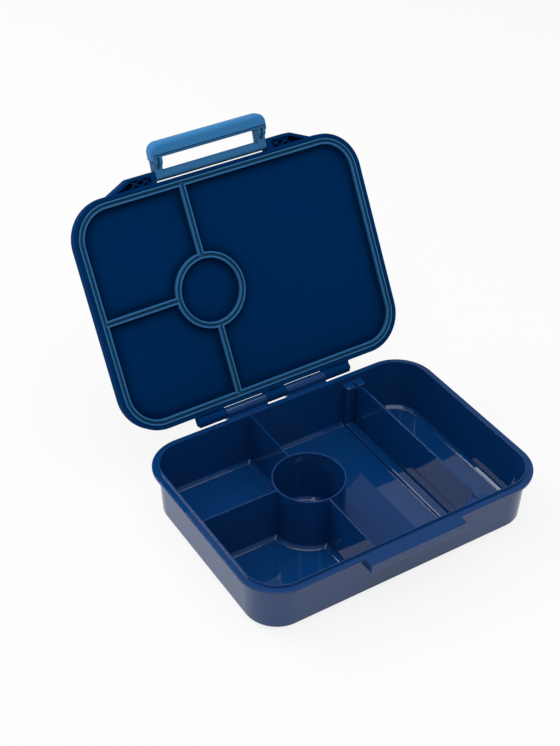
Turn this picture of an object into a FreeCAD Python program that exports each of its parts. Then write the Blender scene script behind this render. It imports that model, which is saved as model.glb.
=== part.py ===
import FreeCAD, Part
import math
import os

# Bento lunch box with a hinged lid, a soft seal, a latch handle and a loose divider.
# Millimetres. The origin is the middle of the underside, the front is -Y, +Z is up.
# Every lid piece is drawn on the closed box and then swung open with the lid.

V = FreeCAD.Vector
AXIS_X = V(1, 0, 0)

# Outline and heights of the base
RIM_W = 220.0
RIM_D = 158.0
RIM_R = 28.0
RIM_Z = 40.0
FLANGE_T = 2.0
FLANGE_BEVEL = 0.4
WALL_INSET = 4.0
WALL_DRAFT = 3.0
BOTTOM_BEVEL = 4.3
FLOOR_T = 2.0

# Raised lip that runs round the rim and along the partition tops
LIP_H = 1.4
LIP_T = 0.9
LIP_INSET = 5.0
LIP_Z = RIM_Z + LIP_H

# Partitions and round cup
PART_DRAFT = 1.5
CUP_X = -26.0
CUP_Y = 0.0
CUP_R = 23.8
FLOOR_BEVEL = 2.2

# Divider, its two guides and the sill between them
DIVIDER_X = 57.5
DIVIDER_T = 1.4
DIVIDER_TOP_Z = RIM_Z
DIVIDER_TONGUE_Z = 35.5
DIVIDER_CORNER_LEN = 8.0
GUIDE_W = 16.0
GUIDE_TOP_Z = 37.0
GUIDE_FACE_Y = 66.5
GUIDE_SLOT_Y = 70.6
GUIDE_EDGE_R = 2.4
SILL_H = 2.6
GUIDE_BEVEL = 0.8
BODY_GAP = 0.35

# Catch ledge on the front of the base
LEDGE_W = 72.0
LEDGE_OUT = 6.5
LEDGE_H = 6.8
LEDGE_WALL = 2.0
LEDGE_RIBS = 3
LEDGE_EDGE_R = 0.6

# Hinge
HINGE_OUT = 4.4
HINGE_UP = 2.0
KNUCKLE_R = 3.7
KNUCKLE_GAP = 0.35
KNUCKLE_MID = 16.0
KNUCKLE_BASE = 32.0
KNUCKLE_END = 21.4
KNUCKLE_BEVEL = 1.2
KNUCKLE_FOOT_DROP = 1.0
HOOD_T = 2.2
HOOD_WEB = 3.0
PIN_R = 1.2
PIN_FIXED_GAP = 0.02
PIN_RUN_GAP = 0.06
PIN_SHORT = 0.5
PIN_BLIND = 1.5
LID_OPEN = 119.8

# Lid
LID_GAP = 0.4
LID_H = 12.0
LID_WALL = 2.4
LID_SKIN = 2.2
LID_BEVEL = 5.0
LID_SHELF = 2.2
LINER_T = 2.2
LINER_GAP = 0.1
PANEL_DEPTH = 3.2

# Seal
SEAL_SIDE_GAP = 0.42
SEAL_RIDGE_T = 1.25
SEAL_LIP_GAP = 0.4

# Front horns of the lid
HORN_FOOT_X = 76.9
HORN_TIP_X = 61.6
HORN_OUT = 6.9
HORN_H = 10.5
HORN_WALL = 2.0
HORN_END_WALL = 3.4
HORN_SKIN = 2.0
HORN_CELLS = 2
HORN_RIB_T = 1.0
HORN_RIB_DROP = 1.2
HORN_EDGE_R = 0.8
HORN_TIP_R = 3.0
LATCH_RELIEF = 1.2
LATCH_RELIEF_LIP = 1.4
LATCH_LIP_BACK = 0.5

# Latch
LATCH_HALF_W = 42.4
LATCH_SIDE_GAP = 0.5
LATCH_LEG_W = 6.0
LATCH_OUT = 3.5
LATCH_UP = 3.5
BARREL_R = 3.4
LEG_IN = 3.0
LEG_IN_GRIP = 5.2
LEG_STEP_START = 6.3
LEG_STEP_END = 9.5
CATCH_GAP = 0.4
CATCH_T = 1.7
BAR_NEAR_OUT = 12.6
BAR_NEAR_IN = 13.0
BAR_SHOULDER = 14.7
CORE_OUT = 2.2
CORE_IN = 4.4
CORE_END = 20.0
CORE_SHORT = 3.0
LEG_GROOVE_W = 1.6
LEG_GROOVE_D = 1.4
LEG_GROOVE_START = 5.0
GRIP_OUT = 3.9
GRIP_IN = 6.1
GRIP_END = 22.8
GRIP_CHEEK = 1.5
GRIP_CHEEK_START = 11.4
GRIP_GAP = 0.1
GRIP_SEAM = 0.4
GRIP_ROUND_R = 2.9
GRIP_CORNER_R = 6.5
LATCH_PIN_IN = 4.4
LATCH_OPEN = 78.0

# Places worked out from the sizes above
LID_Z = RIM_Z + LID_GAP
LID_TOP_Z = LID_Z + LID_H
PANEL_Z = LID_Z + PANEL_DEPTH
SEAL_FLOOR_Z = LIP_Z + SEAL_LIP_GAP
LINER_TOP_Z = PANEL_Z + LINER_T
HINGE_Y = RIM_D / 2 + HINGE_OUT
HINGE_Z = RIM_Z + HINGE_UP
LATCH_Y = -RIM_D / 2 - LATCH_OUT
LATCH_Z = LID_Z + LATCH_UP
CATCH_NEAR = LATCH_Z - RIM_Z + LEDGE_H + CATCH_GAP
GUIDE_SLOT_W = DIVIDER_T + 2 * BODY_GAP
SEAL_EDGE = SEAL_SIDE_GAP + SEAL_RIDGE_T
CORNER_X = RIM_W / 2 - RIM_R
CORNER_Y = RIM_D / 2 - RIM_R

# Overrun of cutting shapes, and the reach inside which two places count as one
OVER = 1.0
EPS = 0.01

# Signs of x and y at the four corners, in order round the outline
CORNERS = [(1, 1), (-1, 1), (-1, -1), (1, -1)]


def wire_rect(inset, z):
    """Rounded rectangle at height z, set in from the rim outline."""
    hx = RIM_W / 2 - inset
    hy = RIM_D / 2 - inset
    r = RIM_R - inset
    k = r * (1 - math.sqrt(0.5))
    edges = []
    for i, (sx, sy) in enumerate(CORNERS):
        ax, ay = sx * hx, sy * (hy - r)
        bx, by = sx * (hx - r), sy * hy
        if sx * sy < 0:
            ax, ay, bx, by = bx, by, ax, ay
        mid = V(sx * (hx - k), sy * (hy - k), z)
        edges.append(Part.Arc(V(ax, ay, z), mid, V(bx, by, z)).toShape())
        nx, ny = CORNERS[(i + 1) % 4]
        if sx * sy > 0:
            end = V(nx * (hx - r), ny * hy, z)
        else:
            end = V(nx * hx, ny * (hy - r), z)
        edges.append(Part.makeLine(V(bx, by, z), end))
    return Part.Wire(edges)


def plate(inset, z0, z1):
    """Straight-sided block on the rim outline."""
    return Part.Face(wire_rect(inset, z0)).extrude(V(0, 0, z1 - z0))


def drafted(inset, z_top, z0, z1, angle):
    """Tapered block: the inset holds at z_top and grows downwards."""
    slope = math.tan(math.radians(angle))
    low = inset + (z_top - z0) * slope
    high = inset + (z_top - z1) * slope
    shapes = []
    for sx, sy in CORNERS:
        foot = V(sx * CORNER_X, sy * CORNER_Y, z0)
        shapes.append(Part.makeCone(RIM_R - low, RIM_R - high, z1 - z0, foot))
    shapes.append(slab_yz(taper(RIM_D / 2, low, high, z0, z1), -CORNER_X, CORNER_X))
    shapes.append(slab_xz(taper(RIM_W / 2, low, high, z0, z1), -CORNER_Y, CORNER_Y))
    return fuse_all(shapes)


def taper(half, low, high, z0, z1):
    """Profile that is as wide as the rim less the low and the high inset."""
    return [(low - half, z0), (half - low, z0), (half - high, z1), (high - half, z1)]


def box(x0, x1, y0, y1, z0, z1):
    """Box between two corners."""
    return Part.makeBox(x1 - x0, y1 - y0, z1 - z0, V(x0, y0, z0))


def rod(radius, x0, x1, y, z):
    """Round bar along X."""
    return Part.makeCylinder(radius, x1 - x0, V(x0, y, z), AXIS_X)


def slab_yz(points, x0, x1):
    """Profile in the YZ plane pulled along X."""
    loop = [V(x0, y, z) for y, z in points]
    loop.append(loop[0])
    return Part.Face(Part.makePolygon(loop)).extrude(V(x1 - x0, 0, 0))


def slab_xz(points, y0, y1):
    """Profile in the XZ plane pulled along Y."""
    loop = [V(x, y0, z) for x, z in points]
    loop.append(loop[0])
    return Part.Face(Part.makePolygon(loop)).extrude(V(0, y1 - y0, 0))


def slab_xy(points, z0, z1):
    """Profile in the XY plane pulled along Z."""
    loop = [V(x, y, z0) for x, y in points]
    loop.append(loop[0])
    return Part.Face(Part.makePolygon(loop)).extrude(V(0, 0, z1 - z0))


def fuse_all(shapes):
    """One solid from overlapping shapes."""
    return shapes[0].multiFuse(shapes[1:]).removeSplitter()


def flip_x(shape):
    """Copy on the other side of the YZ plane."""
    return shape.mirror(V(0, 0, 0), AXIS_X)


def both_sides(shape):
    """The shape and its mirror copy across the YZ plane."""
    return [shape, flip_x(shape)]


def round_edges(shape, radius, test):
    """Fillet every edge that passes the test."""
    edges = [e for e in shape.Edges if test(e)]
    return shape.makeFillet(radius, edges)


def bevel_edges(shape, size, test):
    """Chamfer every edge that passes the test."""
    edges = [e for e in shape.Edges if test(e)]
    return shape.makeChamfer(size, edges)


def at_z(edge, z):
    """True for an edge that lies in the plane at height z."""
    box_z = edge.BoundBox
    return abs(box_z.ZMin - z) < EPS and abs(box_z.ZMax - z) < EPS


def at_x(edge, x):
    """True for an edge that lies in the plane at x or -x."""
    b = edge.BoundBox
    return abs(abs(b.XMin) - x) < EPS and b.XLength < EPS


def at_y(edge, y):
    """True for an edge that lies in the plane at y."""
    b = edge.BoundBox
    return abs(b.YMin - y) < EPS and b.YLength < EPS


def swing_lid(shape):
    """Turn a piece of the closed lid into the open place."""
    out = shape.copy()
    out.rotate(V(0, HINGE_Y, HINGE_Z), AXIS_X, -LID_OPEN)
    return out


def swing_latch(shape):
    """Turn a piece of the closed latch out from the front, then open it with the lid."""
    out = shape.copy()
    out.rotate(V(0, LATCH_Y, LATCH_Z), AXIS_X, -LATCH_OPEN)
    return swing_lid(out)


# Compartments

def partition(x0, x1, y0, y1):
    """Wall between compartments, thin at the top and thicker at the floor."""
    grow = (LIP_Z - FLOOR_T) * math.tan(math.radians(PART_DRAFT))
    along_x = (x1 - x0) > (y1 - y0)
    half = LIP_T / 2
    mid = (y0 + y1) / 2 if along_x else (x0 + x1) / 2
    foot = half + grow
    section = [(mid - foot, FLOOR_T), (mid + foot, FLOOR_T), (mid + half, LIP_Z), (mid - half, LIP_Z)]
    if along_x:
        return slab_yz(section, x0, x1)
    return slab_xz(section, y0, y1)


def cup_cone(offset, sign):
    """Cone of the cup wall, outside for sign +1 and inside for sign -1."""
    depth = LIP_Z - FLOOR_T
    grow = depth * math.tan(math.radians(PART_DRAFT))
    top = CUP_R + sign * offset
    return Part.makeCone(top + sign * grow, top, depth, V(CUP_X, CUP_Y, FLOOR_T))


def pockets():
    """The four food spaces, ready to be cut from the base."""
    room = drafted(LIP_INSET + LIP_T / 2, LIP_Z, FLOOR_T, LIP_Z, WALL_DRAFT)
    walls = [
        cup_cone(LIP_T / 2, 1),
        partition(-RIM_W / 2, CUP_X, -LIP_T / 2, LIP_T / 2),
        partition(CUP_X - LIP_T / 2, CUP_X + LIP_T / 2, -RIM_D / 2, CUP_Y),
        partition(CUP_X - LIP_T / 2, CUP_X + LIP_T / 2, CUP_Y, RIM_D / 2),
    ]
    guides = guide(-1).multiFuse([guide(1), sill()])
    out = []
    for space in room.cut(walls[0].multiFuse(walls[1:])).Solids:
        space = bevel_edges(space, FLOOR_BEVEL, lambda e: at_z(e, FLOOR_T))
        out.append(space.cut(guides))
    cup = cup_cone(LIP_T / 2, -1)
    out.append(bevel_edges(cup, FLOOR_BEVEL, lambda e: at_z(e, FLOOR_T)))
    return out


# Base

def ledge():
    """Catch ledge, cored from below with ribs between its walls."""
    y1 = -RIM_D / 2 + WALL_INSET + FLANGE_T
    y0 = -RIM_D / 2 - LEDGE_OUT
    z0 = RIM_Z - LEDGE_H
    half = LEDGE_W / 2
    body = box(-half, half, y0, y1, z0, RIM_Z)
    body = round_edges(body, LEDGE_EDGE_R, lambda e: at_y(e, y0))
    inner = half - LEDGE_WALL
    core = box(-inner, inner, y0 + LEDGE_WALL, -RIM_D / 2 + WALL_INSET, z0 - OVER, RIM_Z - LEDGE_WALL)
    body = body.cut(core)
    pitch = 2 * inner / (LEDGE_RIBS + 1)
    ribs = []
    for i in range(LEDGE_RIBS):
        x = -inner + pitch * (i + 1)
        ribs.append(box(x - LEDGE_WALL / 2, x + LEDGE_WALL / 2, y0 + LEDGE_WALL / 2, y1, z0, RIM_Z - EPS))
    return fuse_all([body] + ribs)


def knuckle_span(i):
    """X range of base knuckle i, 0 on the left and 1 on the right."""
    x0 = KNUCKLE_MID / 2 + KNUCKLE_GAP / 2
    x1 = x0 + KNUCKLE_BASE - KNUCKLE_GAP
    return (-x1, -x0) if i == 0 else (x0, x1)


def base_knuckle(i):
    """Base knuckle with the foot that joins it to the flange."""
    x0, x1 = knuckle_span(i)
    y_in = RIM_D / 2 - WALL_INSET
    y_front = HINGE_Y - KNUCKLE_R
    y_back = HINGE_Y + KNUCKLE_R
    z_low = RIM_Z - FLANGE_T - KNUCKLE_FOOT_DROP
    foot = [(y_in, RIM_Z - FLANGE_T), (RIM_D / 2, z_low), (HINGE_Y, z_low), (y_back, HINGE_Z - KNUCKLE_R),
            (y_back, HINGE_Z), (y_front, HINGE_Z), (y_front, RIM_Z), (y_in, RIM_Z)]
    return fuse_all([slab_yz(foot, x0, x1), rod(KNUCKLE_R, x0, x1, HINGE_Y, HINGE_Z)])


def guide(side):
    """Rounded guide on the front (-1) or back (+1) wall that holds one end of the divider."""
    y_wall = RIM_D / 2
    y0, y1 = sorted((side * GUIDE_FACE_Y, side * y_wall))
    x0 = DIVIDER_X - GUIDE_W / 2
    x1 = DIVIDER_X + GUIDE_W / 2
    body = box(x0, x1, y0, y1, 0.0, GUIDE_TOP_Z)
    face = side * GUIDE_FACE_Y
    body = round_edges(body, GUIDE_EDGE_R, lambda e: e.BoundBox.ZLength > OVER and at_y(e, face))
    return bevel_edges(body, GUIDE_BEVEL, lambda e: at_z(e, GUIDE_TOP_Z) and not at_y(e, side * y_wall))


def sill():
    """Low bar across the floor that joins the two guides."""
    z1 = FLOOR_T + SILL_H
    x0 = DIVIDER_X - GUIDE_W / 2
    x1 = DIVIDER_X + GUIDE_W / 2
    bar = box(x0, x1, -GUIDE_FACE_Y - OVER, GUIDE_FACE_Y + OVER, 0.0, z1)
    return bevel_edges(bar, GUIDE_BEVEL, lambda e: at_z(e, z1) and e.BoundBox.YLength > OVER)


def guide_slot():
    """Slot through the guides and the sill that takes the divider."""
    half = GUIDE_SLOT_W / 2
    return box(DIVIDER_X - half, DIVIDER_X + half, -GUIDE_SLOT_Y, GUIDE_SLOT_Y, FLOOR_T, LIP_Z)


def make_base():
    """Base moulding."""
    shell = drafted(WALL_INSET, RIM_Z, 0.0, RIM_Z - FLANGE_T / 2, WALL_DRAFT)
    shell = bevel_edges(shell, BOTTOM_BEVEL, lambda e: at_z(e, 0.0))
    flange = plate(0.0, RIM_Z - FLANGE_T, RIM_Z)
    flange = bevel_edges(flange, FLANGE_BEVEL, lambda e: at_z(e, RIM_Z))
    lip = plate(LIP_INSET - LIP_T / 2, RIM_Z - FLANGE_T, LIP_Z)
    body = fuse_all([shell, flange, lip, ledge(), base_knuckle(0), base_knuckle(1)])
    spaces = pockets()
    body = body.cut(spaces[0].multiFuse(spaces[1:]))
    bores = []
    for x0, x1 in (knuckle_span(0), knuckle_span(1)):
        bores.append(rod(PIN_R + PIN_FIXED_GAP, x0 - OVER, x1 + OVER, HINGE_Y, HINGE_Z))
    return body.cut(guide_slot().multiFuse(bores))


def make_divider():
    """Loose plate with tongues that stand in the guide slots."""
    y_end = GUIDE_SLOT_Y - BODY_GAP
    y_top = GUIDE_FACE_Y - BODY_GAP
    y_flat = y_top - DIVIDER_CORNER_LEN
    z0 = FLOOR_T + BODY_GAP
    x0 = DIVIDER_X - DIVIDER_T / 2
    rise = DIVIDER_TOP_Z - DIVIDER_TONGUE_Z
    radius = (DIVIDER_CORNER_LEN ** 2 + rise ** 2) / (2 * rise)
    half_turn = math.asin(DIVIDER_CORNER_LEN / radius) / 2
    y_mid = y_flat + radius * math.sin(half_turn)
    z_mid = DIVIDER_TOP_Z - radius * (1 - math.cos(half_turn))

    def point(y, z):
        return V(x0, y, z)

    top_r = Part.Arc(point(y_top, DIVIDER_TONGUE_Z), point(y_mid, z_mid), point(y_flat, DIVIDER_TOP_Z))
    top_l = Part.Arc(point(-y_flat, DIVIDER_TOP_Z), point(-y_mid, z_mid), point(-y_top, DIVIDER_TONGUE_Z))
    lower = [point(-y_top, DIVIDER_TONGUE_Z), point(-y_end, DIVIDER_TONGUE_Z), point(-y_end, z0),
             point(y_end, z0), point(y_end, DIVIDER_TONGUE_Z), point(y_top, DIVIDER_TONGUE_Z)]
    edges = [Part.makeLine(a, b) for a, b in zip(lower, lower[1:])]
    edges.append(top_r.toShape())
    edges.append(Part.makeLine(point(y_flat, DIVIDER_TOP_Z), point(-y_flat, DIVIDER_TOP_Z)))
    edges.append(top_l.toShape())
    return Part.Face(Part.Wire(edges)).extrude(V(DIVIDER_T, 0, 0))


def make_hinge_pin():
    """Rod through the five knuckles, held in the base knuckles."""
    end = KNUCKLE_MID / 2 + KNUCKLE_BASE + KNUCKLE_END - PIN_SHORT
    return rod(PIN_R, PIN_BLIND - end, end, HINGE_Y, HINGE_Z)


# Lid, drawn closed

def horn():
    """Right front horn: open below, with crossed ribs inside."""
    y_lid = -RIM_D / 2
    y_tip = y_lid - HORN_OUT
    x_in = LATCH_HALF_W + LATCH_SIDE_GAP
    z1 = LID_Z + HORN_H
    lap = LID_WALL / 2
    outer = slab_xy([(x_in, y_lid + lap), (x_in, y_tip), (HORN_TIP_X, y_tip), (HORN_FOOT_X, y_lid),
                     (HORN_FOOT_X, y_lid + lap)], LID_Z, z1)
    outer = round_edges(outer, HORN_TIP_R, lambda e: at_x(e, HORN_TIP_X) and at_y(e, y_tip))
    outer = round_edges(outer, HORN_EDGE_R, lambda e: at_z(e, z1) and e.CenterOfMass.y < y_lid - EPS)
    r_in = x_in + HORN_END_WALL
    y_in = y_tip + HORN_WALL
    lean = (HORN_FOOT_X - HORN_TIP_X) / HORN_OUT
    side = HORN_WALL * math.hypot(1, lean)
    tip_x = HORN_FOOT_X - side - lean * (HORN_OUT - HORN_WALL)
    hollow = slab_xy([(r_in, y_lid), (r_in, y_in), (tip_x, y_in), (HORN_FOOT_X - side, y_lid)],
                     LID_Z - EPS, z1 - HORN_SKIN)
    body = outer.cut(hollow)
    ribs = []
    cell = (tip_x - r_in) / HORN_CELLS
    for i in range(HORN_CELLS):
        x0 = r_in + cell * i
        for ya, yb in ((y_lid, y_in), (y_in, y_lid)):
            ribs.append(strip(V(x0, ya, 0), V(x0 + cell, yb, 0), HORN_RIB_T, LID_Z + HORN_RIB_DROP, z1 - EPS))
    web = ribs[0].multiFuse(ribs[1:]).common(hollow)
    return body.fuse(web).removeSplitter()


def strip(p, q, width, z0, z1):
    """Upright strip between two points in plan."""
    d = q.sub(p)
    d.normalize()
    n = V(-d.y, d.x, 0) * (width / 2)
    loop = [p + n, q + n, q - n, p - n]
    return slab_xy([(v.x, v.y) for v in loop], z0, z1)


def lid_knuckle_spans():
    """X ranges of the three lid knuckles."""
    half = KNUCKLE_MID / 2 - KNUCKLE_GAP / 2
    x0 = KNUCKLE_MID / 2 + KNUCKLE_BASE + KNUCKLE_GAP / 2
    x1 = KNUCKLE_MID / 2 + KNUCKLE_BASE + KNUCKLE_END
    return [(-x1, -x0), (-half, half), (x0, x1)]


def lid_knuckle(x0, x1):
    """Lid knuckle with the hood that joins it to the back wall of the lid."""
    z1 = HINGE_Z + KNUCKLE_R
    y0 = RIM_D / 2 - LID_WALL / 2
    hood = box(x0, x1, y0, HINGE_Y, z1 - HOOD_T, z1)
    webs = [box(x, x + HOOD_WEB, y0, HINGE_Y, LID_Z, z1) for x in (x0, x1 - HOOD_WEB)]
    body = fuse_all([rod(KNUCKLE_R, x0, x1, HINGE_Y, HINGE_Z), hood] + webs)
    outer_x = KNUCKLE_MID / 2 + KNUCKLE_BASE + KNUCKLE_END
    if max(abs(x0), abs(x1)) < outer_x - EPS:
        return body
    return bevel_edges(body, KNUCKLE_BEVEL, lambda e: at_x(e, outer_x) and e.BoundBox.YMax > HINGE_Y + EPS)


def make_lid_cover():
    """Outer lid."""
    body = plate(0.0, LID_Z, LID_TOP_Z)
    body = bevel_edges(body, LID_BEVEL, lambda e: at_z(e, LID_TOP_Z))
    body = body.cut(plate(LID_WALL, LID_Z - EPS, LINER_TOP_Z + LINER_GAP))
    body = body.cut(plate(LID_WALL + LID_SHELF, LID_Z, LID_TOP_Z - LID_SKIN))
    x_in = LATCH_HALF_W + LATCH_SIDE_GAP
    y_lid = -RIM_D / 2
    relief = box(-x_in, x_in, y_lid - OVER, y_lid + LATCH_RELIEF, LID_Z + LATCH_RELIEF_LIP, LID_TOP_Z + OVER)
    lip_relief = box(-x_in, x_in, y_lid - OVER, y_lid + LATCH_LIP_BACK, LID_Z - OVER, LID_TOP_Z)
    body = body.cut(relief.fuse(lip_relief))
    spans = lid_knuckle_spans()
    body = fuse_all([body] + both_sides(horn()) + [lid_knuckle(x0, x1) for x0, x1 in spans])
    bore_x0 = spans[0][0] + PIN_BLIND
    bores = [rod(PIN_R + PIN_RUN_GAP, bore_x0, spans[-1][1] + OVER, HINGE_Y, HINGE_Z)]
    for x0 in (-x_in - HORN_END_WALL - EPS, x_in - EPS):
        bores.append(rod(PIN_R + PIN_FIXED_GAP, x0, x0 + HORN_END_WALL + 2 * EPS, LATCH_Y, LATCH_Z))
    return body.cut(bores[0].multiFuse(bores[1:]))


def cells(margin, z0, z1):
    """Blocks over the food spaces, smaller all round by half a lip and the margin."""
    half = LIP_T / 2 + margin
    axis = V(CUP_X, CUP_Y, z0)
    walls = [
        box(-RIM_W / 2, CUP_X, CUP_Y - half, CUP_Y + half, z0, z1),
        box(CUP_X - half, CUP_X + half, -RIM_D / 2, RIM_D / 2, z0, z1),
    ]
    ring = Part.makeCylinder(CUP_R + half, z1 - z0, axis).multiFuse(walls)
    cup = Part.makeCylinder(CUP_R - half, z1 - z0, axis)
    return plate(LIP_INSET + half, z0, z1).cut(ring).fuse(cup)


def seal_lines(margin, z0, z1):
    """Network over the lip and the partition tops, wider than them by the margin on each side."""
    body = plate(LIP_INSET - LIP_T / 2 - margin, z0, z1)
    return body.cut(cells(margin, z0 - OVER, z1 + OVER))


def make_lid_liner():
    """Inner lid plate that carries the seal."""
    return plate(LID_WALL + LINER_GAP, PANEL_Z, LINER_TOP_Z)


def make_lid_seal():
    """Soft seal: a network with two ridges and a groove that takes the lip."""
    band = seal_lines(SEAL_EDGE, LID_Z, PANEL_Z - EPS)
    groove = seal_lines(SEAL_SIDE_GAP, LID_Z - EPS, SEAL_FLOOR_Z)
    return band.cut(groove)


def make_latch_pins():
    """Two short pins, fixed in the horn walls, on which the latch turns."""
    x_in = LATCH_HALF_W + LATCH_SIDE_GAP
    pin = rod(PIN_R, LATCH_HALF_W - LATCH_PIN_IN, x_in + HORN_END_WALL, LATCH_Y, LATCH_Z)
    return Part.makeCompound(both_sides(pin))


# Latch, drawn closed: n points in to the box, r points down from the pivot

def latch_slab(points, x0, x1):
    """Profile in (n, r) pulled along X."""
    return slab_yz([(LATCH_Y + n, LATCH_Z - r) for n, r in points], x0, x1)


def make_latch_frame():
    """Barrel, two legs and the cross bar with the catch bead."""
    w = LATCH_HALF_W
    out = -BARREL_R
    leg = latch_slab([(out, 0), (out, BAR_SHOULDER), (LEG_IN_GRIP, BAR_SHOULDER), (LEG_IN_GRIP, LEG_STEP_END),
                      (LEG_IN, LEG_STEP_START), (LEG_IN, 0)], w - LATCH_LEG_W, w)
    mid = w - LATCH_LEG_W / 2
    x0, x1 = mid - LEG_GROOVE_W / 2, mid + LEG_GROOVE_W / 2
    n_low, n_high = LEG_IN - LEG_GROOVE_D, LEG_IN_GRIP - LEG_GROOVE_D
    n_out = LEG_IN_GRIP + OVER
    groove = latch_slab([(n_low, LEG_GROOVE_START), (n_high, LEG_STEP_END), (n_high, BAR_NEAR_IN),
                         (n_out, BAR_NEAR_IN), (n_out, LEG_GROOVE_START)], x0, x1)
    leg = leg.cut(groove)
    bar = latch_slab([(out, CATCH_NEAR), (out + CATCH_T, CATCH_NEAR), (out + CATCH_T, BAR_NEAR_OUT),
                      (LEG_IN_GRIP, BAR_NEAR_IN), (LEG_IN_GRIP, BAR_SHOULDER), (out, BAR_SHOULDER)], -w, w)
    core = latch_slab([(-CORE_OUT, BAR_NEAR_IN), (-CORE_OUT, CORE_END), (CORE_IN, CORE_END),
                       (CORE_IN, BAR_NEAR_IN)], CORE_SHORT - w, w - CORE_SHORT)
    body = fuse_all([rod(BARREL_R, -w, w, LATCH_Y, LATCH_Z), bar, core] + both_sides(leg))
    depth = LATCH_PIN_IN + BODY_GAP
    bores = both_sides(rod(PIN_R + PIN_RUN_GAP, w - depth, w + OVER, LATCH_Y, LATCH_Z))
    return body.cut(bores[0].fuse(bores[1]))


def make_latch_grip():
    """Rounded cover over the cross bar with cheeks down the legs."""
    w = LATCH_HALF_W + GRIP_GAP
    x1 = w + GRIP_CHEEK
    body = latch_slab([(-GRIP_OUT, GRIP_CHEEK_START), (-GRIP_OUT, GRIP_END), (GRIP_IN, GRIP_END),
                       (GRIP_IN, GRIP_CHEEK_START)], -x1, x1)
    z_end = LATCH_Z - GRIP_END
    body = round_edges(body, GRIP_CORNER_R, lambda e: at_z(e, z_end) and at_x(e, x1))
    z_start = LATCH_Z - GRIP_CHEEK_START
    body = round_edges(body, GRIP_ROUND_R, lambda e: e.BoundBox.YLength < EPS and not at_z(e, z_start))
    room = latch_slab([(-GRIP_OUT - OVER, 0), (-GRIP_OUT - OVER, BAR_SHOULDER + GRIP_SEAM),
                       (GRIP_IN + OVER, BAR_SHOULDER + GRIP_SEAM), (GRIP_IN + OVER, 0)], -w, w)
    x_core = LATCH_HALF_W - CORE_SHORT + GRIP_GAP
    core = latch_slab([(-CORE_OUT - GRIP_GAP, 0), (-CORE_OUT - GRIP_GAP, CORE_END + GRIP_GAP),
                       (CORE_IN + GRIP_GAP, CORE_END + GRIP_GAP), (CORE_IN + GRIP_GAP, 0)], -x_core, x_core)
    return body.cut(room.fuse(core))


PIECES = {
    "base_shell": make_base(),
    "divider": make_divider(),
    "hinge_pin": make_hinge_pin(),
    "lid_cover": swing_lid(make_lid_cover()),
    "lid_liner": swing_lid(make_lid_liner()),
    "lid_seal": swing_lid(make_lid_seal()),
    "latch_pins": swing_lid(make_latch_pins()),
    "latch_frame": swing_latch(make_latch_frame()),
    "latch_grip": swing_latch(make_latch_grip()),
}

os.makedirs("parts", exist_ok=True)
for name, shape in PIECES.items():
    shape.exportStep("parts/" + name + ".step")
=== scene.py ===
import logging
import math
from dataclasses import dataclass
from enum import Enum
from typing import Any, ClassVar, Optional, Union

import bmesh
import bpy
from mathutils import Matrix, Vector


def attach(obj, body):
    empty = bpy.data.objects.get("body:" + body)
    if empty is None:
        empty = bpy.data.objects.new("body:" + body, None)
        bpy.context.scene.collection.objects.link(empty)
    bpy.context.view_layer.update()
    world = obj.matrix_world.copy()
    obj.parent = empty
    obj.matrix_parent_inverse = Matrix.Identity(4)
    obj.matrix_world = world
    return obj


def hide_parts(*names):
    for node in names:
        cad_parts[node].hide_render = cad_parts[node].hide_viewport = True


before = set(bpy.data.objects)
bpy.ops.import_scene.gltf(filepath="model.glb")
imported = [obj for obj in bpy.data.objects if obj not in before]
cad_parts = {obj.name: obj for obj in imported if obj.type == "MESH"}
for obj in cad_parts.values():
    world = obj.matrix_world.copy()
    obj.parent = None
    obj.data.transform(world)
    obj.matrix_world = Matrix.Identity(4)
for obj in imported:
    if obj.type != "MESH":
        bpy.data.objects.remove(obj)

LOG = logging.getLogger("lunch_box")
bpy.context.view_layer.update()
MM = 0.001
NOISE_MEAN = 0.5

Color = tuple[float, float, float]
Paint = tuple[float, float, float, float]
Point = tuple[float, float, float]
WHITE: Color = (1.0, 1.0, 1.0)


class Grain(Enum):
    """Surface that the mould leaves: cells per metre and strength of the relief."""

    POLISHED = (900.0, 0.004)
    SATIN = (2600.0, 0.05)
    SOFT = (1800.0, 0.08)

    @property
    def cells(self) -> float:
        """Cells of the grain per metre."""
        return self.value[0]

    @property
    def relief(self) -> float:
        """Strength of the grain's relief."""
        return self.value[1]


class Blend(Enum):
    """What a Mix node blends: its data type, then the numbers of both inputs and of the output."""

    COLOR = ("RGBA", 6, 7, 2)
    VECTOR = ("VECTOR", 4, 5, 1)


class Value:
    """A number socket that takes part in Python arithmetic."""

    def __init__(self, shader: "Shader", socket: bpy.types.NodeSocket) -> None:
        """Keep the socket and the shader that new Math nodes go into."""
        self.shader = shader
        self.socket = socket

    def _math(self, operation: str, first: Any, second: Any) -> "Value":
        """Add one Math node on two operands."""
        return self.shader.value("ShaderNodeMath", {"operation": operation}, {0: first, 1: second})

    def __add__(self, other: Any) -> "Value":
        """Sum."""
        return self._math("ADD", self, other)

    __radd__ = __add__

    def __sub__(self, other: Any) -> "Value":
        """Difference."""
        return self._math("SUBTRACT", self, other)

    def __rsub__(self, other: Any) -> "Value":
        """Difference with the operands the other way round."""
        return self._math("SUBTRACT", other, self)

    def __mul__(self, other: Any) -> "Value":
        """Product."""
        return self._math("MULTIPLY", self, other)

    __rmul__ = __mul__


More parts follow.
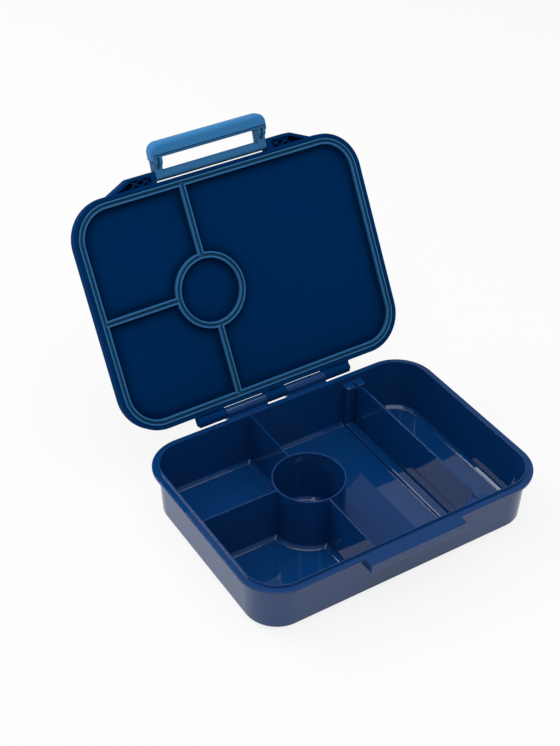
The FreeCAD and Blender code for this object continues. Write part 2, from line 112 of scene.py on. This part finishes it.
class Shader:
    """A material or a surround under construction."""

    def __init__(self, owner: Union[bpy.types.Material, bpy.types.World]) -> None:
        """Start with an empty node tree.

        Args:
            owner: The material or world that the nodes belong to.
        """
        self.owner = owner
        self.owner.use_nodes = True
        self.tree = self.owner.node_tree
        self.tree.nodes.clear()

    def node(self, kind: str, settings: Optional[dict[str, Any]] = None,
             sockets: Optional[dict[Union[str, int], Any]] = None) -> bpy.types.Node:
        """Add a node, set it up and feed its sockets.

        Args:
            kind: The node's type.
            settings: Properties, which are set first.
            sockets: Values or links by socket name or number.

        Returns:
            The new node.
        """
        node = self.tree.nodes.new(kind)
        for key, value in (settings or {}).items():
            setattr(node, key, value)
        for key, value in (sockets or {}).items():
            if isinstance(value, Value):
                value = value.socket
            if isinstance(value, bpy.types.NodeSocket):
                self.tree.links.new(value, node.inputs[key])
            else:
                node.inputs[key].default_value = value
        return node

    def value(self, kind: str, settings: Optional[dict[str, Any]] = None,
              sockets: Optional[dict[Union[str, int], Any]] = None, out: Union[str, int] = 0) -> Value:
        """Add a node as node does, and wrap one of its number outputs."""
        return Value(self, self.node(kind, settings, sockets).outputs[out])

    def place(self) -> bpy.types.NodeSocket:
        """Object coordinates, in metres."""
        return self.node("ShaderNodeTexCoord").outputs["Object"]

    def noise(self, cells: float, octaves: float, stretch: Point = (1.0, 1.0, 1.0)) -> Value:
        """Noise from 0 to 1 over the piece, with its cells per metre and its stretch along each axis."""
        spot = self.node("ShaderNodeMapping", None, {"Vector": self.place(), "Scale": stretch})
        return self.value("ShaderNodeTexNoise", {"noise_dimensions": "3D"},
                          {"Vector": spot.outputs[0], "Scale": cells, "Detail": octaves}, "Fac")

    def mix(self, blend: Blend, factor: Value, low: Any, high: Any) -> bpy.types.NodeSocket:
        """Blend two colours or two vectors.

        Args:
            blend: What is blended.
            factor: 0 gives low, 1 gives high.
            low: The first colour or vector, or a link to it.
            high: The second colour or vector, or a link to it.

        Returns:
            The blended output.
        """
        kind, first, second, out = blend.value
        node = self.node("ShaderNodeMix", {"data_type": kind, "clamp_factor": True},
                         {0: factor, first: low, second: high})
        return node.outputs[out]

    def finish(self, surface: bpy.types.NodeSocket) -> Union[bpy.types.Material, bpy.types.World]:
        """Link the surface to the output.

        Args:
            surface: The shader socket.

        Returns:
            The finished material or world.
        """
        kind = "World" if isinstance(self.owner, bpy.types.World) else "Material"
        self.node("ShaderNodeOutput" + kind, None, {"Surface": surface})
        return self.owner


def shade(color: Color, factor: float = 1.0) -> Paint:
    """The linear colour times a factor, opaque: darker below 1 and lighter above."""
    return (color[0] * factor, color[1] * factor, color[2] * factor, 1.0)


@dataclass(frozen=True)
class Moulding:
    """Injection-moulded plastic with a mould grain, flow tone and rounded edges, and painted shade in
    grooves and corners when the shade level is below 1.
    """

    name: str
    color: Color
    roughness: float
    grain: Grain
    specular: float = 0.5
    edge_r: float = 0.35 * MM
    foot_r: float = 0.0
    foot_z: float = 12.0 * MM
    tone: float = 0.06
    # Painted shade: ambient occlusion within the reach darkens the colour towards the colour times this
    # level, scaled by the gain.
    painted_shade_level: float = 1.0
    shade_reach: float = 2.0 * MM
    shade_gain: float = 1.0

    IOR: ClassVar[float] = 1.5
    FLOW_CELLS: ClassVar[float] = 9.0
    FLOW_OCTAVES: ClassVar[float] = 3.0
    FLOW_STRETCH: ClassVar[Point] = (1.0, 1.0, 1.6)
    GRAIN_OCTAVES: ClassVar[float] = 2.0
    RUB_CELLS: ClassVar[float] = 260.0
    RUB_OCTAVES: ClassVar[float] = 4.0
    RUB_STRETCH: ClassVar[Point] = (1.0, 9.0, 1.0)
    GLOSS_FLOOR: ClassVar[float] = 0.7
    GLOSS_FLOW: ClassVar[float] = 0.4
    GLOSS_RUB: ClassVar[float] = 0.2
    RELIEF_DEPTH: ClassVar[float] = 0.2 * MM
    EDGE_SAMPLES: ClassVar[int] = 16
    SHELTER_SAMPLES: ClassVar[int] = 12

    def material(self) -> bpy.types.Material:
        """Build the plastic.

        Returns:
            The material.
        """
        shader = Shader(bpy.data.materials.new(self.name))
        flow = shader.noise(self.FLOW_CELLS, self.FLOW_OCTAVES, self.FLOW_STRETCH)
        fine = shader.noise(self.grain.cells, self.GRAIN_OCTAVES)
        rub = shader.noise(self.RUB_CELLS, self.RUB_OCTAVES, self.RUB_STRETCH)
        color = shader.mix(Blend.COLOR, flow, shade(self.color, 1.0 - self.tone),
                           shade(self.color, 1.0 + self.tone))
        # Painted shade in grooves and corners, when the level is below 1.
        if self.painted_shade_level < 1.0:
            color = self.paint_shade(shader, color)
        rough = self.roughness * (self.GLOSS_FLOOR + flow * self.GLOSS_FLOW + rub * self.GLOSS_RUB)
        bump = shader.node("ShaderNodeBump", None, {
            "Strength": self.grain.relief, "Distance": self.RELIEF_DEPTH, "Height": fine,
            "Normal": self.round_edges(shader)})
        body = shader.node("ShaderNodeBsdfPrincipled", None, {
            "Base Color": color, "Roughness": rough, "Normal": bump.outputs[0],
            "Specular IOR Level": self.specular, "IOR": self.IOR})
        return shader.finish(body.outputs[0])

    def round_edges(self, shader: Shader) -> bpy.types.NodeSocket:
        """Turn the normal round the edges, with a larger radius at the foot of the walls.

        Args:
            shader: The material under construction.

        Returns:
            The normal.
        """
        samples = {"samples": self.EDGE_SAMPLES}
        top = shader.node("ShaderNodeBevel", samples, {"Radius": self.edge_r}).outputs[0]
        if self.foot_r == 0.0:
            return top
        foot = shader.node("ShaderNodeBevel", samples, {"Radius": self.foot_r}).outputs[0]
        height = shader.value("ShaderNodeSeparateXYZ", None, {0: shader.place()}, "Z")
        upper = shader.value("ShaderNodeMath", {"operation": "GREATER_THAN"},
                             {0: height, 1: self.foot_z})
        return shader.mix(Blend.VECTOR, upper, foot, top)

    def paint_shade(self, shader: Shader, color: bpy.types.NodeSocket) -> bpy.types.NodeSocket:
        """Paint shade into the colour: darker in grooves and corners and near raised parts, by ambient
        occlusion.

        Args:
            shader: The material under construction.
            color: The colour on open faces.

        Returns:
            The colour with painted shade in grooves and corners.
        """
        shelter = shader.value("ShaderNodeAmbientOcclusion", {"samples": self.SHELTER_SAMPLES},
                               {"Distance": self.shade_reach}, "AO")
        open_part = 1.0 - (1.0 - shelter) * self.shade_gain
        return shader.mix(Blend.COLOR, open_part, shade(self.color, self.painted_shade_level), color)


@dataclass(frozen=True)
class DrawnSteel:
    """Bright drawn rod with fine lines along X."""

    name: str
    color: Color = (0.55, 0.56, 0.58)
    roughness: float = 0.3
    dull: float = 0.8
    spread: float = 0.1
    relief: float = 0.1
    depth: float = 0.1 * MM
    line_cells: float = 3000.0
    line_octaves: float = 3.0
    line_stretch: Point = (0.02, 1.0, 1.0)

    def material(self) -> bpy.types.Material:
        """Build the steel.

        Returns:
            The material.
        """
        shader = Shader(bpy.data.materials.new(self.name))
        lines = shader.noise(self.line_cells, self.line_octaves, self.line_stretch)
        color = shader.mix(Blend.COLOR, lines, shade(self.color, self.dull), shade(self.color))
        bump = shader.node("ShaderNodeBump", None, {
            "Strength": self.relief, "Distance": self.depth, "Height": lines})
        body = shader.node("ShaderNodeBsdfPrincipled", None, {
            "Base Color": color, "Roughness": self.roughness + (lines - NOISE_MEAN) * self.spread,
            "Metallic": 1.0, "Normal": bump.outputs[0]})
        return shader.finish(body.outputs[0])


def dress(name: str, finish: Union[Moulding, DrawnSteel]) -> None:
    """Give a CAD node its finish.

    Args:
        name: The node's name.
        finish: The finish.
    """
    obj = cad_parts[name]
    obj.data.materials.clear()
    obj.data.materials.append(finish.material())
    LOG.info("dressed %s in %s", name, finish.name)


@dataclass
class BaseTray:
    """The base moulding, its hinge pin and the loose divider."""

    shell: Moulding = Moulding("base_navy", (0.0022, 0.042, 0.168), 0.025, Grain.POLISHED,
                               edge_r=0.25 * MM, foot_r=1.6 * MM)
    plate: Moulding = Moulding("divider_navy", (0.0022, 0.044, 0.176), 0.02, Grain.POLISHED)
    pin: DrawnSteel = DrawnSteel("hinge_steel")

    def dress(self) -> None:
        """Finish the base pieces."""
        dress("base_shell", self.shell)
        dress("divider", self.plate)
        dress("hinge_pin", self.pin)


@dataclass
class Lid:
    """The cover, the liner, the soft seal and the latch pins."""

    cover: Moulding = Moulding("lid_navy", (0.0005, 0.032, 0.132), 0.45, Grain.SATIN, specular=0.002)
    # Liner: wide painted shade, reaching 40 mm, darkens the panels towards their edges and the seal
    # ridges.
    liner: Moulding = Moulding("liner_navy", (0.0001, 0.030, 0.123), 0.6, Grain.SATIN, specular=0.0,
                               painted_shade_level=0.50, shade_reach=40.0 * MM, shade_gain=6.0)
    # Seal: painted shade darkens the groove between the ridges.
    seal: Moulding = Moulding("seal_blue", (0.030, 0.168, 0.385), 0.55, Grain.SOFT, specular=0.06,
                              painted_shade_level=0.08, shade_gain=1.7)
    pins: DrawnSteel = DrawnSteel("latch_pin_steel")
    ridge_r: float = 0.35 * MM
    ridge_segments: int = 4
    weld: float = 0.002 * MM
    flat: float = math.radians(1.0)
    crease: float = math.radians(40.0)

    def build(self) -> bpy.types.Object:
        """Round the seal's ridges as soft rubber has them.

        Returns:
            The rounded seal.
        """
        mesh = bmesh.new()
        mesh.from_mesh(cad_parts["lid_seal"].data)
        bmesh.ops.remove_doubles(mesh, verts=mesh.verts, dist=self.weld)
        bmesh.ops.dissolve_limit(mesh, angle_limit=self.flat, verts=mesh.verts, edges=mesh.edges,
                                 use_dissolve_boundaries=False)
        sharp = [e for e in mesh.edges if e.is_manifold and e.calc_face_angle() > self.crease]
        bmesh.ops.bevel(mesh, geom=sharp, offset=self.ridge_r, affect="EDGES",
                        segments=self.ridge_segments, profile=0.5, material=-1, clamp_overlap=True)
        bmesh.ops.triangulate(mesh, faces=mesh.faces)
        data = bpy.data.meshes.new("soft_seal")
        mesh.to_mesh(data)
        mesh.free()
        obj = bpy.data.objects.new("soft_seal", data)
        bpy.context.scene.collection.objects.link(obj)
        obj.data.materials.append(self.seal.material())
        for face in obj.data.polygons:
            face.use_smooth = True
        LOG.info("rounded soft_seal, %d faces", len(data.polygons))
        return obj

    def dress(self) -> None:
        """Finish the lid pieces."""
        seal = self.build()
        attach(seal, "lid")
        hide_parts("lid_seal")
        dress("lid_cover", self.cover)
        dress("lid_liner", self.liner)
        dress("latch_pins", self.pins)


@dataclass
class LatchHandle:
    """The swinging frame and the grip over its cross bar."""

    # Frame and grip: painted shade darkens the crease where the grip meets the bar, and other tight
    # corners.
    bar: Moulding = Moulding("latch_frame_blue", (0.038, 0.170, 0.375), 0.45, Grain.SATIN, specular=0.05,
                             painted_shade_level=0.45, shade_reach=4.0 * MM, shade_gain=1.3)
    grip: Moulding = Moulding("latch_grip_blue", (0.040, 0.215, 0.495), 0.40, Grain.SATIN, specular=0.12,
                              painted_shade_level=0.40, shade_reach=5.0 * MM, shade_gain=1.3)

    def dress(self) -> None:
        """Finish the latch pieces."""
        dress("latch_frame", self.bar)
        dress("latch_grip", self.grip)


@dataclass(frozen=True)
class Softbox:
    """Square lamp that is aimed at the box."""

    name: str
    place: Point
    size: float
    radiance: float
    aim: Point = (0.0, 0.0, 0.05)

    def build(self) -> None:
        """Hang the lamp."""
        lamp = bpy.data.lights.new(self.name, "AREA")
        lamp.shape = "SQUARE"
        lamp.size = self.size
        lamp.energy = self.radiance * math.pi * self.size ** 2
        obj = bpy.data.objects.new(self.name, lamp)
        obj.location = Vector(self.place)
        obj.rotation_euler = (Vector(self.aim) - obj.location).to_track_quat("-Z", "Y").to_euler()
        bpy.context.scene.collection.objects.link(obj)


@dataclass
class Studio:
    """Pale floor, soft lamps and the camera."""

    eye: Point = (-0.4022, -0.5581, 0.6471)
    azimuth: float = -31.355
    elevation: float = 38.0245
    focal_px: float = 1399.28
    axis_px: tuple[float, float] = (261.06, 379.26)
    image_px: tuple[float, float] = (560.0, 746.0)
    sensor: float = 36.0
    floor_size: float = 12.0
    floor_white: float = 0.92
    glow_seen: float = 0.85
    glow_mirrored: float = 0.55
    sky: float = 0.28
    lamps: tuple[Softbox, ...] = (
        Softbox("overhead", (-0.15, -0.35, 1.7), 1.7, 1.95),
        Softbox("back_left", (-0.85, 1.15, 1.35), 0.9, 6.0),
    )

    def build(self) -> None:
        """Set the stage."""
        self.make_floor()
        self.make_world()
        for lamp in self.lamps:
            lamp.build()
        self.make_camera()
        bpy.context.scene.view_settings.view_transform = "Standard"

    def make_floor(self) -> None:
        """Lay the floor under the box."""
        mesh = bmesh.new()
        bmesh.ops.create_grid(mesh, x_segments=1, y_segments=1, size=self.floor_size / 2)
        data = bpy.data.meshes.new("floor")
        mesh.to_mesh(data)
        mesh.free()
        floor = bpy.data.objects.new("floor", data)
        bpy.context.scene.collection.objects.link(floor)
        data.materials.append(self.floor_material())

    def floor_material(self) -> bpy.types.Material:
        """White paper that glows a little towards the camera and in reflections.

        Returns:
            The material.
        """
        shader = Shader(bpy.data.materials.new("pale_floor"))
        paper = shader.node("ShaderNodeBsdfDiffuse", None, {"Color": shade(WHITE, self.floor_white)})
        bright = shader.node("ShaderNodeEmission", None, {"Color": shade(WHITE), "Strength": 1.0})
        path = shader.node("ShaderNodeLightPath")
        seen = Value(shader, path.outputs["Is Camera Ray"]) * self.glow_seen
        glossy = Value(shader, path.outputs["Is Glossy Ray"])
        through = Value(shader, path.outputs["Is Transmission Ray"])
        part = shader.value("ShaderNodeMath", {"operation": "MAXIMUM"},
                            {0: seen, 1: (glossy + through) * self.glow_mirrored})
        blend = shader.node("ShaderNodeMixShader", None, {
            0: part, 1: paper.outputs[0], 2: bright.outputs[0]})
        return shader.finish(blend.outputs[0])

    def make_world(self) -> None:
        """Fill the shadows from a dim surround that the camera sees as white."""
        shader = Shader(bpy.data.worlds.new("surround"))
        dim = shader.node("ShaderNodeBackground", None, {"Color": shade(WHITE), "Strength": self.sky})
        plain = shader.node("ShaderNodeBackground", None, {"Color": shade(WHITE), "Strength": 1.0})
        path = shader.node("ShaderNodeLightPath")
        blend = shader.node("ShaderNodeMixShader", None, {
            0: path.outputs["Is Camera Ray"], 1: dim.outputs[0], 2: plain.outputs[0]})
        bpy.context.scene.world = shader.finish(blend.outputs[0])

    def make_camera(self) -> None:
        """Stand the camera where the picture was taken from."""
        data = bpy.data.cameras.new("camera")
        long_side = max(self.image_px)
        data.sensor_width = self.sensor
        data.sensor_fit = "AUTO"
        data.lens = self.focal_px * self.sensor / long_side
        data.shift_x = (self.image_px[0] / 2 - self.axis_px[0]) / long_side
        data.shift_y = (self.axis_px[1] - self.image_px[1] / 2) / long_side
        camera = bpy.data.objects.new("camera", data)
        camera.location = Vector(self.eye)
        camera.rotation_euler = (math.radians(90.0 - self.elevation), 0.0, math.radians(self.azimuth))
        bpy.context.scene.collection.objects.link(camera)
        bpy.context.scene.camera = camera


def main() -> None:
    """Build the pieces in order."""
    logging.basicConfig(level=logging.INFO)
    BaseTray().dress()
    Lid().dress()
    LatchHandle().dress()
    Studio().build()


if __name__ == "__main__":
    main()
